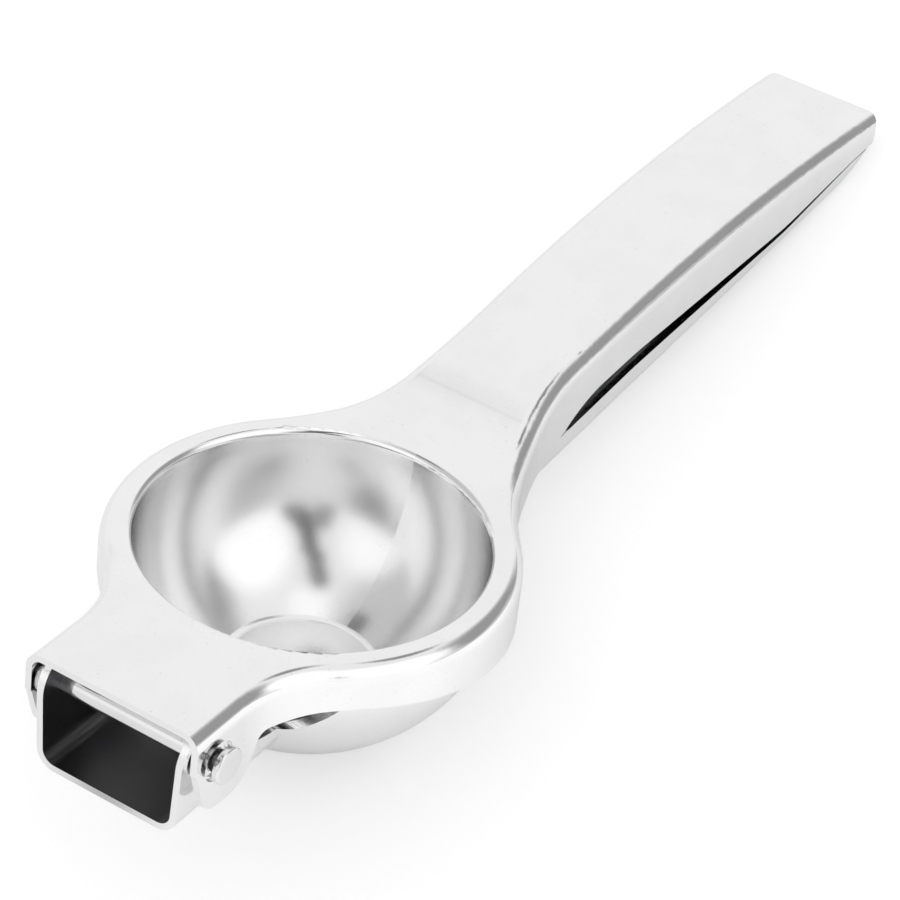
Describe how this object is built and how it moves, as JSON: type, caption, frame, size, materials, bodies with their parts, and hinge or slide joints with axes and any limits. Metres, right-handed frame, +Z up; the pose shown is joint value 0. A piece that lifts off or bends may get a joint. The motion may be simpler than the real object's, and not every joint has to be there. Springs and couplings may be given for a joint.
{
  "type": "lemon squeezer",
  "caption": "Hinged stamped-steel citrus press: round press cup nested over a perforated bowl, with long channel handles.",
  "frame": {"origin": "middle of the closed squeezer's footprint, on the surface that it lies on", "axes": "+X from the hinge to the end of the handles, +Y across, along the hinge pin, +Z up from the table"},
  "size_m": [0.2216, 0.0688, 0.0468],
  "materials": {
    "upper_steel": "polished",
    "lower_steel": "polished",
    "pin_steel": "turned and tumbled"
  },
  "bodies": {
    "base": {"lower_half": "lower_steel", "pin_barrel": "pin_steel", "pin_stud": "pin_steel"},
    "press": {"upper_half": "upper_steel"}
  },
  "joints": [
    {"name": "hinge", "type": "hinge", "parent": "base", "child": "press", "pos_m": [-0.10206, 0, 0.03785], "axis": [0, -1, 0], "range_deg": [0, 95]}
  ]
}
